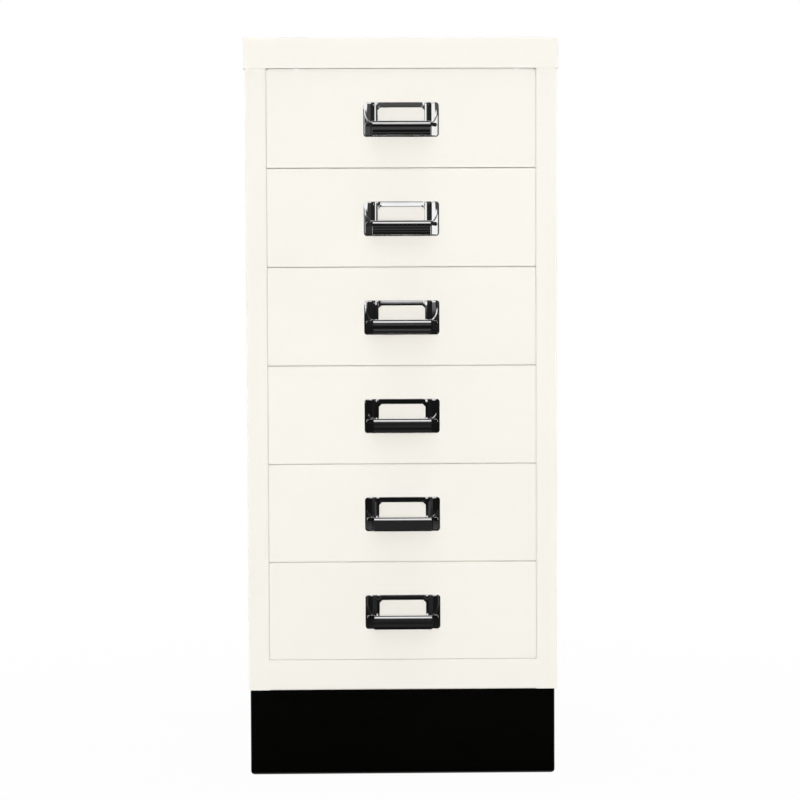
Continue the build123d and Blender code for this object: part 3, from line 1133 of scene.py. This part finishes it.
@dataclass
class Studio:
    """The floor, the lamps and the cards round the cabinet."""

    floor_size: float = 14.0
    floor_white: float = 0.66
    floor_dust: float = 0.98
    dust_size: float = 0.5
    shadow_share: float = 0.03
    shadow_near: float = 0.3
    shadow_end: float = 1.3
    world_fill: float = 0.22

    def build(self) -> None:
        """Sets up the whole studio."""
        self._floor()
        self._world()
        for name, lamp in LAMPS.items():
            self._hang(name, lamp)
        for name, card in REFLECTION_CARDS.items():
            self._stand(name, card)

    @staticmethod
    def _bright_rays(recipe: Recipe) -> Field:
        """1 where the camera, a mirror or glass looks at the white surroundings."""
        camera, glossy, clear = (
            recipe.node("ShaderNodeLightPath", output=f"Is {kind} Ray")
            for kind in ("Camera", "Glossy", "Transmission"))
        return recipe.node("ShaderNodeClamp", None, {"Value": camera + glossy + clear})

    def _floor(self) -> None:
        """Lays the white floor, which keeps a faint shadow round the cabinet."""
        recipe = Recipe.of_material("white floor")
        at = recipe.place()
        dust = recipe.noise(at, self.dust_size, detail=2.0)
        tone = recipe.blend(dust, grey(self.floor_white), grey(self.floor_dust * self.floor_white))
        matt = recipe.node("ShaderNodeBsdfDiffuse", None, {"Color": tone})
        white = recipe.node("ShaderNodeEmission", None, {"Color": grey(1.0)})
        away = recipe.node("ShaderNodeVectorMath", {"operation": "LENGTH"}, {0: at}, output="Value")
        near = 1 - away.smoothstep(self.shadow_near, self.shadow_end)
        share = self._bright_rays(recipe) * (1 - near * self.shadow_share)
        surface = recipe.node("ShaderNodeMixShader", None, {0: share, 1: matt, 2: white})
        self._board("studio_floor", (self.floor_size, 0, 0), (0, self.floor_size, 0), (0, 0, 0),
                    recipe.finish(surface))

    @staticmethod
    def _board(name: str, across: Point, along: Point, middle: Point,
               material: bpy.types.Material) -> bpy.types.Object:
        """Makes one flat board, which is no part of the cabinet.

        Args:
            name: Its name.
            across: One side as a vector.
            along: The other side as a vector.
            middle: The place of its middle.
            material: Its material.

        Returns:
            The board.
        """
        form = bmesh.new()
        corners = [Vector(middle) + Vector(across) * u + Vector(along) * v
                   for u, v in ((-0.5, -0.5), (0.5, -0.5), (0.5, 0.5), (-0.5, 0.5))]
        form.faces.new([form.verts.new(corner) for corner in corners])
        mesh = bpy.data.meshes.new(name)
        form.to_mesh(mesh)
        form.free()
        mesh.materials.append(material)
        board = put(name, mesh)
        log.info("studio: %s", name)
        return board

    def _world(self) -> None:
        """Fills the room with even light in front of a white background."""
        world = bpy.data.worlds.new("studio")
        bpy.context.scene.world = world
        recipe = Recipe(world)
        strength = self._bright_rays(recipe) * (1 - self.world_fill) + self.world_fill
        light = {"Color": grey(1.0), "Strength": strength}
        recipe.finish(recipe.node("ShaderNodeBackground", None, light))

    @staticmethod
    def _hang(name: str, lamp: Lamp) -> None:
        """Hangs one soft lamp, which no mirror sees.

        Args:
            name: Its name.
            lamp: Its place, aim, size and power.
        """
        light = bpy.data.lights.new(name, "AREA")
        light.shape = "RECTANGLE"
        light.size, light.size_y = lamp.size
        light.energy = lamp.energy
        holder = put(name, light, lamp.place)
        ahead = Vector(lamp.aim) - Vector(lamp.place)
        holder.rotation_euler = ahead.to_track_quat("-Z", "Y").to_euler()
        holder.visible_glossy = False
        log.info("studio: %s lamp", name)

    def _stand(self, name: str, card: Card) -> None:
        """Stands one glowing black and grey card, which only mirrors see, as a painted reflection.

        Args:
            name: Its name.
            card: Its place, size and levels.
        """
        recipe = Recipe.of_material(name)
        at = recipe.place()
        sideways, onwards = (
            recipe.node("ShaderNodeSeparateXYZ", None, {"Vector": at}, output=axis)
            for axis in ("X", card.axis))
        tone = recipe.blend(onwards.smoothstep(*card.turn), grey(card.low), grey(card.high))
        for glow in card.glows:
            lit = sideways.smoothstep(*glow.left) * (1 - sideways.smoothstep(*glow.right))
            lit *= onwards.smoothstep(*glow.foot) * (1 - onwards.smoothstep(*glow.head))
            tone = recipe.blend(lit, tone, grey(glow.level))
        # The card glows: its tones are painted reflections, and no camera, diffuse or shadow ray
        # sees it.
        surface = recipe.node("ShaderNodeEmission", None, {"Color": tone})
        board = self._board(name, card.across, card.along, card.middle, recipe.finish(surface))
        board.visible_camera = False
        board.visible_diffuse = False
        board.visible_transmission = False
        board.visible_shadow = False


@dataclass
class PhotoCamera:
    """The camera at the place from which the picture was taken; its angles are in degrees."""

    picture: float = 800.0
    sensor: float = 36.0
    focal_pixels: float = 2663.95
    yaw: float = 1.148
    pitch: float = -2.784
    roll: float = -0.226
    place: Point = (-0.05001, -2.58395, 0.46119)
    farthest: float = 50.0

    def build(self) -> None:
        """Stands the camera up and makes it the scene's own."""
        yaw, pitch, roll = map(math.radians, (self.yaw, self.pitch, self.roll))
        level = Vector((math.cos(yaw), -math.sin(yaw), 0.0))
        ahead = Vector((math.sin(yaw) * math.cos(pitch), math.cos(yaw) * math.cos(pitch),
                        math.sin(pitch)))
        upright = level.cross(ahead)
        right = level * math.cos(roll) + upright * math.sin(roll)
        up = upright * math.cos(roll) - level * math.sin(roll)
        data = bpy.data.cameras.new("camera")
        data.sensor_width = self.sensor
        data.lens = self.focal_pixels * self.sensor / self.picture
        data.clip_end = self.farthest
        camera = put("camera", data)
        turn = Matrix((right, up, -ahead)).transposed().to_4x4()
        camera.matrix_world = Matrix.Translation(self.place) @ turn
        bpy.context.scene.camera = camera
        log.info("camera: %.1f mm lens", data.lens)


def numbered(pattern: str) -> list[str]:
    """The names of one kind of piece on all the drawers."""
    return [pattern.format(number) for number in DRAWERS]


def folded_groups() -> list[FoldedParts]:
    """The cabinet's CAD pieces in their groups.

    Returns:
        The groups in the order in which they are dressed.
    """
    body = ["top_cap", "left_side", "right_side", "back_panel", "bottom_rail", "top_rail",
            "base_plate", "left_rear_post", "right_rear_post"]
    walls = ["plinth_front", "plinth_back", "plinth_left", "plinth_right"]
    runners = numbered("runner_left_{}") + numbered("runner_right_{}")
    painted = (numbered("drawer_{}_front") + numbered("drawer_{}_front_ends")
               + numbered("drawer_{}_tray"))
    return [
        FoldedParts("carcass", dict.fromkeys(body, Slot.IVORY) | {"top_pads": Slot.NYLON}),
        FoldedParts("plinth", dict.fromkeys(walls, Slot.BLACK)
                    | dict.fromkeys(["plinth_brackets", "plinth_bolts"], Slot.ZINC)),
        FoldedParts("runners", dict.fromkeys(runners, Slot.ZINC) | {"runner_pads": Slot.NYLON}),
        FoldedParts("drawers", dict.fromkeys(painted, Slot.IVORY)
                    | dict.fromkeys(numbered("drawer_{}_glides"), Slot.NYLON)
                    | dict.fromkeys(numbered("drawer_{}_rivets"), Slot.ZINC)),
    ]


def main() -> None:
    """Builds the studio picture of the cabinet."""
    logging.basicConfig(level=logging.INFO, format="%(name)s: %(message)s")
    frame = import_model()
    wardrobe = Wardrobe()
    for group in folded_groups():
        group.build(frame["nodes"], wardrobe)
    PullSet().build(wardrobe)
    FrontEdges().build(wardrobe)
    Studio().build()
    PhotoCamera().build()
    bpy.context.scene.view_settings.view_transform = "Standard"


if __name__ == "__main__":
    main()
